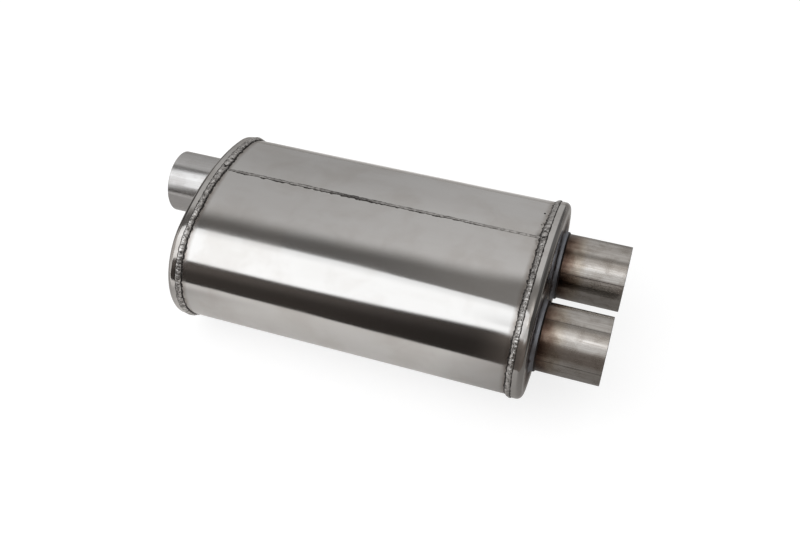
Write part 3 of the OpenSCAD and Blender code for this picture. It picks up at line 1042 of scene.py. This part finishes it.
# %% Steel of the welds
BRIGHT_BEAD = (0.56, 0.55, 0.535, 1)
GREY_BEAD = (0.26, 0.25, 0.24, 1)
# Black of soot, also used as painted shade at the fillets' toes.
BLACK_SOOT_AND_SHADE = (0.02, 0.017, 0.016, 1)
FILLET_COLOURS = [(0.3, (0.05, 0.052, 0.06)), (0.5, (0.06, 0.05, 0.048)), (0.7, (0.09, 0.062, 0.048))]


def finish_welds():
    """Bright and grey puddles with grime in their creases, and a black line at the toes that is partly
    painted shade.
    """
    material, tree, shader = new_material("weld_steel")
    dirt_and_shade = use(tree, soot_group, Amount=1.0)["Mask"]
    place = object_place(tree)
    skin = noise(tree, place, 700.0, 3.0, 0.6)
    cloudy = map_range(tree, noise(tree, place, 330.0, 2.0), 0.38, 0.66)
    # The mask is grime and oxide in the creases, and painted shade along the toes.
    colour = blend_colours(tree, dirt_and_shade, blend_colours(tree, cloudy, BRIGHT_BEAD, GREY_BEAD), OXIDE_AND_SHADE)
    roughness = weighted(tree, map_range(tree, skin, 0.3, 0.7, 0.2, 0.36), (dirt_and_shade, 0.3))
    feed(tree, shader, colour, roughness, skin, 0.07 * MM)
    return material


def finish_fillets():
    """Fine welds, blue and brown from the heat."""
    material, tree, shader = new_material("tinted_weld_steel")
    # This mask darkens the creases with soot, and paints shade along both toes.
    dirt_and_shade = use(tree, soot_group, Amount=0.9)["Mask"]
    patch = noise(tree, object_place(tree), 120.0, 3.0)
    colour = blend_colours(tree, dirt_and_shade, ramp(tree, patch, FILLET_COLOURS), BLACK_SOOT_AND_SHADE)
    feed(tree, shader, colour, map_range(tree, patch, 0.3, 0.7, 0.4, 0.55), patch, 0.1 * MM)
    return material


weld_steel, tinted_weld_steel = finish_welds(), finish_fillets()

# %% [markdown]
# The necks are drawn tube, which is duller than rolled sheet and has longer streaks. The two outlets were
# welded hotter than the inlet: their first centimetres are brown, and the rest is stained in patches. So
# one function makes both finishes, and only the outlets' one asks for heat colours.

# %% Steel of the necks
CLEAN_TUBE = (0.50, 0.50, 0.50, 1)
TUBE_STEEL = (0.48, 0.465, 0.445, 1)
STAINED_STEEL = (0.26, 0.235, 0.21, 1)
HEAT_SKIPPED = 10.5 * MM


def finish_neck(name, steel, in_clouds, in_streaks, dullness, relief, heated):
    """Drawn tube. `in_clouds` and `in_streaks` say how strongly it is stained."""
    material, tree, shader = new_material(name)
    grain = use(tree, streak_group, Length=55 * MM, Width=1.7 * MM)
    marks = use(tree, cloud_group, Size=12 * MM)["Mask"]
    worn = calculate(tree, "MULTIPLY", marks, in_clouds)
    worn = weighted(tree, worn, (grain["Tone"], in_streaks), clamp=True)
    colour = blend_colours(tree, worn, steel, STAINED_STEEL)
    if heated:
        along = calculate(tree, "ABSOLUTE", add(tree, "SeparateXYZ", {0: object_place(tree)}).outputs[0])
        distance = calculate(tree, "ADD", calculate(tree, "SUBTRACT", along, lip_x), HEAT_SKIPPED)
        tint = use(tree, heat_group, Distance=distance, Reach=36 * MM)["Tint"]
        colour = blend_colours(tree, 1.0, colour, tint, "MULTIPLY")
    # This mask darkens the mill lines with soot, and paints shade on the cut ends and in the bore.
    dirt_and_shade = use(tree, soot_group, Amount=0.75)["Mask"]
    colour = blend_colours(tree, dirt_and_shade, colour, OXIDE_AND_SHADE)
    roughness = weighted(tree, dullness, (marks, 0.05), (grain["Tone"], 0.08))
    feed(tree, shader, colour, roughness, grain["Height"], relief)
    return material


neck_steel = finish_neck("neck_steel", CLEAN_TUBE, in_clouds=0.08, in_streaks=0.22, dullness=0.17,
                         relief=0.012 * MM, heated=False)
tinted_neck_steel = finish_neck("tinted_neck_steel", TUBE_STEEL, in_clouds=0.38, in_streaks=0.55,
                                dullness=0.18, relief=0.02 * MM, heated=True)

# %% [markdown]
# The pieces inside can be seen only through the necks, or when the muffler is taken apart. The baffles
# and cores are plain sheet, a little dull. The wool and the fibre are masses of fine threads, and a wave
# texture that a noise bends out of line gives their look.

# %% Finishes of the inside
INNER_STEEL = (0.42, 0.41, 0.40, 1)
WARM_INNER_STEEL = (0.30, 0.28, 0.26, 1)
WOOL_COLOURS = (0.10, 0.10, 0.10, 1), (0.48, 0.47, 0.45, 1)
FIBRE_COLOURS = (0.52, 0.46, 0.32, 1), (0.80, 0.76, 0.62, 1)


def finish_inside():
    """Dull sheet of the baffles, tacks and cores."""
    material, tree, shader = new_material("inner_steel")
    grain = use(tree, streak_group, Length=30 * MM, Width=1.5 * MM)
    marks = use(tree, cloud_group, Size=25 * MM)["Mask"]
    colour = blend_colours(tree, marks, INNER_STEEL, WARM_INNER_STEEL)
    roughness = weighted(tree, 0.3, (marks, 0.1), (grain["Tone"], 0.1))
    feed(tree, shader, colour, roughness, grain["Height"], 0.03 * MM)
    return material


def finish_threads(name, colours, metallic, scale):
    """A mass of threads: steel wool or fibre. `colours` are the dark and the light one."""
    material, tree, shader = new_material(name)
    place = object_place(tree)
    bent = vector_math(tree, "ADD", place, noise(tree, place, scale / 6, 2.0, output="Color"))
    wave = add(tree, "TexWave", {"Vector": bent, "Scale": scale, "Distortion": 9.0, "Detail": 3.0})
    threads = wave.outputs[1]
    colour = blend_colours(tree, threads, *colours)
    feed(tree, shader, colour, map_range(tree, threads, 0, 1, 0.75, 0.45), threads, 0.6 * MM)
    shader.inputs["Metallic"].default_value = metallic
    return material


inner_steel = finish_inside()
wool_steel = finish_threads("wool_steel", WOOL_COLOURS, 1.0, 260.0)
fibre = finish_threads("fibre", FIBRE_COLOURS, 0.0, 190.0)

# %% [markdown]
# The new pieces get their finish directly. The construction's own pieces that stay keep their shape, and
# only the material in their slots changes.

# %% Put the finishes on
BARE_INSIDE = ("inlet_baffle", "outlet_baffle", "inlet_baffle_tacks", "outlet_baffle_tacks", "through_core",
               "branch_core")
finished = {
    shell_steel: [shell],
    cap_steel: [inlet_cap, outlet_cap],
    weld_steel: [inlet_bead, outlet_bead, seam],
    neck_steel: [inlet_tube],
    tinted_neck_steel: [rear_tube, front_tube],
    tinted_weld_steel: [inlet_fillet, rear_fillet, front_fillet],
    inner_steel: [nodes[name] for name in BARE_INSIDE],
    wool_steel: [nodes["through_core_wool"], nodes["branch_core_wool"]],
    fibre: [nodes["fibre_packing"]],
}
for material, pieces in finished.items():
    for piece in pieces:
        piece.data.materials.clear()
        piece.data.materials.append(material)
    print(material.name, "on", [piece.name for piece in pieces])

# %% [markdown]
# ## The studio
#
# Bare metal has hardly any look of its own: it shows what stands round it. A photographer of such a part
# lays it on a pale table, hangs one large soft light above and in front of it, and leaves dark gaps, so
# that its curves read as clean bright and dark bands. The same is built here. The bands of the shell come
# from, in turn: the table, a dark board in front, the soft light, a dark gap behind it, and a pale screen
# at the back.
#
# Through the Light Path node the world is white to the camera and in reflections, and the table is white
# to the camera and pale in reflections.

# %% World and table
ROOM_LIGHT = 0.75
TABLE_HALF = 4.0
TABLE_LIT = (0.715, 0.685, 0.66, 1)
TABLE_SEEN = (0.29, 0.29, 0.29, 1)
TABLE_ROUGHNESS = 0.9


def by_ray(tree, plain, seen, mirrored):
    """A strength for light that falls on things, one for what the camera sees and one for reflections."""
    path = add(tree, "LightPath").outputs
    direct = calculate(tree, "MAXIMUM", path["Is Camera Ray"], path["Is Transmission Ray"])
    return weighted(tree, plain, (direct, seen - plain), (path["Is Glossy Ray"], mirrored - plain))


def build_world():
    """An even white room, a little dimmer as light than it looks."""
    world = bpy.data.worlds.new("studio")
    bpy.context.scene.world = world
    world.use_nodes = True
    background = world.node_tree.nodes["Background"]
    background.inputs[0].default_value = (1, 1, 1, 1)
    world.node_tree.links.new(by_ray(world.node_tree, ROOM_LIGHT, 1.0, 1.0), background.inputs[1])


def build_table():
    """The pale table that the muffler lies on. It keeps the muffler's shadow."""
    corners = [(x * TABLE_HALF, y * TABLE_HALF, 0) for x, y in ((-1, -1), (1, -1), (1, 1), (-1, 1))]
    table = new_object("table", corners, [(0, 1, 2, 3)], {})
    material, tree, shader = new_material("pale_table")
    direct = add(tree, "LightPath").outputs["Is Camera Ray"]
    tree.links.new(blend_colours(tree, direct, TABLE_LIT, TABLE_SEEN), shader.inputs["Base Color"])
    shader.inputs["Roughness"].default_value = TABLE_ROUGHNESS
    shader.inputs["Emission Color"].default_value = (1, 1, 1, 1)
    tree.links.new(by_ray(tree, 0.0, 0.77, 0.20), shader.inputs["Emission Strength"])
    table.data.materials.append(material)


build_world()
build_table()

# %% [markdown]
# A card is a flat grid of points. Two numbers are painted on each point: how strongly the card glows
# there, and how far it covers what is behind it. So one card can have a soft edge on one side and a crisp
# one on another, as a board has when the light grazes it. The edges aren't straight: the photograph's
# bands were traced back over the shell to where their light would come from, and the corners were set
# from that and changed, render by render. Only the soft light lights things. The other cards show
# in reflections alone, so they take no light away from the table, and the level stays plain.

# %% Cards
def fade(value, start, end):
    """A soft step: 0 at `start`, 1 at `end`."""
    share = np.clip((value - start) / (end - start), 0, 1)
    return share * share * (3 - 2 * share)


def follow(place, corners):
    """Straight lines between corners, which are pairs of place and value."""
    return np.interp(place, *zip(*corners))


def level_card(left, right, start, end, z):
    """Corners of a level card, from one Y to another."""
    return [(left, start, z), (right, start, z), (right, end, z), (left, end, z)]


def upright_card(first, second, height):
    """Corners of an upright card on the table, from one place to another."""
    return [(*first, 0.0), (*second, 0.0), (*second, height), (*first, height)]


def build_card(name, corners, steps, colour, paint, only_reflected=True):
    """A card between four corners. `paint` gives glow and cover for the x, y and z of its points."""
    u = np.linspace(0, 1, steps[0])[None, :, None]
    v = np.linspace(0, 1, steps[1])[:, None, None]
    first, second, third, fourth = [np.array(corner) for corner in corners]
    points = (first * (1 - u) + second * u) * (1 - v) + (fourth * (1 - u) + third * u) * v
    glow, cover = [np.broadcast_to(mark, points.shape[:2]) for mark in paint(*np.moveaxis(points, -1, 0))]
    card = new_object(name, points, grid_faces(steps[1], steps[0]).tolist(), {"glow": glow, "cover": cover})
    material, tree, shader = new_material(name)
    tree.nodes.remove(shader)
    glow, cover = [add(tree, "Attribute", attribute_name=mark).outputs["Fac"] for mark in ("glow", "cover")]
    light = add(tree, "Emission", {0: (*colour, 1), 1: glow})
    clear = add(tree, "BsdfTransparent")
    mixed = add(tree, "MixShader", {0: cover, 1: clear.outputs[0], 2: light.outputs[0]})
    tree.links.new(mixed.outputs[0], tree.nodes["Material Output"].inputs[0])
    card.data.materials.append(material)
    card.visible_camera = False
    card.visible_diffuse = not only_reflected
    card.visible_shadow = not only_reflected


print("a soft step from 0 to 1, at a quarter:", fade(0.25, 0, 1))

# %% [markdown]
# The soft light hangs over the muffler and in front of it, level, a metre above the table. It is a little
# dimmer towards its rear edge, has a dip near its right edge and one hot place.

# %% The soft light
LIGHT_Z = 1.07
FULL_GLOW = 1.90
LIGHT_REAR_EDGE = [(-1.0, -0.40), (-0.78, -0.15), (-0.62, -0.002), (-0.25, 0.0),
                   (-0.1, -0.045), (0.05, -0.095), (0.16, -0.26), (0.27, -0.50)]
LIGHT_RIGHT_EDGE = [(-1.6, 0.11), (-1.1, 0.09), (-0.85, 0.13), (-0.68, 0.27), (-0.45, 0.31)]
LIGHT_DIP = [(0.3, 0.0), (0.5, 0.09), (0.62, 0.15), (0.73, 0.20), (0.84, 0.19), (0.93, 0.02)]


def paint_light(x, y, z):
    """Bright inside its two edges."""
    depth = follow(x, LIGHT_REAR_EDGE) - y
    inside = follow(y, LIGHT_RIGHT_EDGE) - x
    dip = fade(x, -0.06, 0.04) * follow(-y, LIGHT_DIP)
    hot = 0.9 * fade(x, 0.14, 0.2) * near(y + 0.55, 0.09)
    glow = FULL_GLOW * (0.80 + 0.20 * fade(depth, 0.0, 0.26) + 0.03 * fade(-x, 0.3, 0.6)) * (1 - dip + hot)
    return glow, fade(depth, -0.012, 0.012) * fade(inside, -0.03, 0.05)


build_card("soft_light", level_card(-1.9, 0.35, 0.05, -2.4, LIGHT_Z), (226, 246), (0.985, 0.99, 1.0),
           paint_light, only_reflected=False)

# %% [markdown]
# Behind the light's rear edge the room is dark, up to the pale screen, which slopes from above the
# muffler down to the table behind it. The screen is brightest at the top, and it gives the broad face its
# even grey.

# %% The dark gap and the screen
GAP_Z = 1.09
GAP_REAR_EDGE = [(-0.6, 0.21), (-0.2, 0.25), (0.0, 0.27), (0.06, 0.31)]
SCREEN_GLOW = [(0.0, 0.62), (0.30, 0.65), (0.60, 0.69), (0.75, 0.76), (0.90, 0.80),
               (1.05, 0.85), (1.15, 0.90)]


def paint_gap(x, y, z):
    """Dark behind the soft light, less dark to the right of it."""
    rear = follow(x, GAP_REAR_EDGE)
    glow = 0.17 + 0.135 * fade(x, -0.3, 0.05) + 0.62 * fade(x, 0.08, 0.2) * fade(-y, -0.15, 0.05)
    return glow, (1 - fade(y, rear - 0.11, rear + 0.09)) * fade(y, -0.75, -0.65)


def paint_screen(x, y, z):
    """Brightest at the top, and dark outside its two side edges."""
    inside = fade(x, -1.35, -1.1) * (1 - fade(x, 0.34, 0.52))
    glow = follow(z, SCREEN_GLOW) * (0.83 + 0.17 * fade(x, -0.6, 0.0))
    return glow * (0.26 + 0.74 * inside), np.ones_like(x)


build_card("dark_gap", level_card(-1.9, 1.2, 0.42, -0.8, GAP_Z), (156, 62), (1.05, 1.0, 0.955), paint_gap)
build_card("back_screen", [(-2.0, 0.0, 1.38), (2.0, 0.0, 1.38), (2.0, 2.0, 0.0), (-2.0, 2.0, 0.0)],
           (101, 40), (1.02, 1.0, 0.985), paint_screen)

# %% [markdown]
# A dark board stands on the table in front of the muffler, at an angle, and gives the dark band between
# the table and the soft light. Two more stand at the left and the right, for the caps and the necks.

# %% The boards
BOARD_FOOT = np.array([-0.057, -0.460])
BOARD_WAY = np.array([0.893, 0.450])
BOARD_TOP = [(-0.72, 0.14), (-0.68, 0.19), (-0.64, 0.40), (-0.59, 0.47), (-0.46, 0.452), (-0.20, 0.386),
             (0.10, 0.362), (0.18, 0.355), (0.30, 0.25), (0.45, 0.22)]
BOARD_GLOW = [(-0.5, 0.066), (-0.1, 0.050), (0.1, 0.034), (0.17, 0.036), (0.25, 0.16), (0.35, 0.20)]
BOARD_SOFTNESS = 0.035
SIDE_COLOUR = (1.04, 1.0, 0.97)


def from_board(x, y):
    """How far a place is along the front board's foot, and how far behind it."""
    east, north = x - BOARD_FOOT[0], y - BOARD_FOOT[1]
    return east * BOARD_WAY[0] + north * BOARD_WAY[1], north * BOARD_WAY[0] - east * BOARD_WAY[1]


def paint_board(x, y, z):
    """Dark, with a soft top edge that rises to the left."""
    along = from_board(x, y)[0]
    top = follow(along, BOARD_TOP)
    glow = follow(along, BOARD_GLOW) * (1 + 0.9 * fade(z, 0.15, 0.3))
    return glow, 1 - fade(z, top - BOARD_SOFTNESS, top + BOARD_SOFTNESS)


def paint_side(x, y, z):
    """Pale in front at the left, dark further back, with a soft top edge."""
    glow = 0.10 + 0.10 * fade(y, 0.3, 0.9) + 0.75 * fade(-x, 0, 0.1) * fade(-y, -0.2, 0.15)
    return glow, 1 - fade(z, 0.75, 1.1)


build_card("front_board", upright_card(BOARD_FOOT - 0.85 * BOARD_WAY, BOARD_FOOT + 0.55 * BOARD_WAY, 0.52),
           (71, 105), (1.16, 1.0, 0.90), paint_board)
build_card("left_board", upright_card((-0.82, -0.84), (-1.35, 1.3), 1.2), (30, 30), SIDE_COLOUR, paint_side)
build_card("right_board", upright_card((0.62, -0.4), (0.95, 1.2), 0.9), (30, 30), SIDE_COLOUR, paint_side)

# %% [markdown]
# The boards keep parts of the table dark, and the steel shows those too. As the boards throw no shadow
# here, that shade is one more card, a hair above the table.

# %% Shade on the table
SHADE_Z = 0.4 * MM
SHADE_RIGHT = [(0.07, 0.0), (0.14, 0.42), (0.20, 0.72), (0.26, 0.80)]
SHADE_LEFT = [(0.13, 0.0), (0.18, 0.16), (0.25, 0.48), (0.40, 0.62)]
FOOT_REACH = [(-0.6, 0.16), (-0.36, 0.13), (-0.12, 0.052), (0.04, 0.038), (0.2, -0.02)]
FOOT_SOFTNESS = 0.025


def paint_table_shade(x, y, z):
    """Shade at the right, left and back, and the darkest at the front board's foot."""
    right = follow(x, SHADE_RIGHT)
    left = follow(-x, SHADE_LEFT) * fade(y, -0.36, -0.22)
    back = 0.45 * fade(y, 0.25, 0.5)
    along, behind = from_board(x, y)
    reach = follow(along, FOOT_REACH)
    foot = 1 - fade(behind, reach - FOOT_SOFTNESS, reach + FOOT_SOFTNESS)
    return 0.15 - 0.10 * foot, np.maximum.reduce([right, left, back, foot])


build_card("table_shade", level_card(-1.4, 1.2, -0.9, 1.7, SHADE_Z), (105, 105), (1.08, 1.0, 0.93),
           paint_table_shade)

# %% [markdown]
# ## The camera
#
# The view is that of the photograph. The camera stands in front and a little to the right, looks down
# steeply, and is tilted by less than a degree.

# %% Camera
AZIMUTH = math.radians(19.142)
ELEVATION = math.radians(46.081)
ROLL = math.radians(-0.876)
CAMERA_FROM_AXIS = Vector((0.23894, -0.61492, 0.67222))
SENSOR_W = 36.0
FOCAL_LENGTH = 41.53

camera = bpy.data.objects.new("camera", bpy.data.cameras.new("camera"))
bpy.context.scene.collection.objects.link(camera)
turned = (Matrix.Rotation(AZIMUTH, 4, "Z") @ Matrix.Rotation(math.pi / 2 - ELEVATION, 4, "X")
          @ Matrix.Rotation(ROLL, 4, "Z"))
camera.matrix_world = Matrix.Translation(CAMERA_FROM_AXIS + Vector((0, 0, axis_z))) @ turned
camera.data.sensor_width = SENSOR_W
camera.data.lens = FOCAL_LENGTH
bpy.context.scene.camera = camera
bpy.context.scene.view_settings.view_transform = "Standard"
print("camera at", [round(v, 3) for v in camera.location])
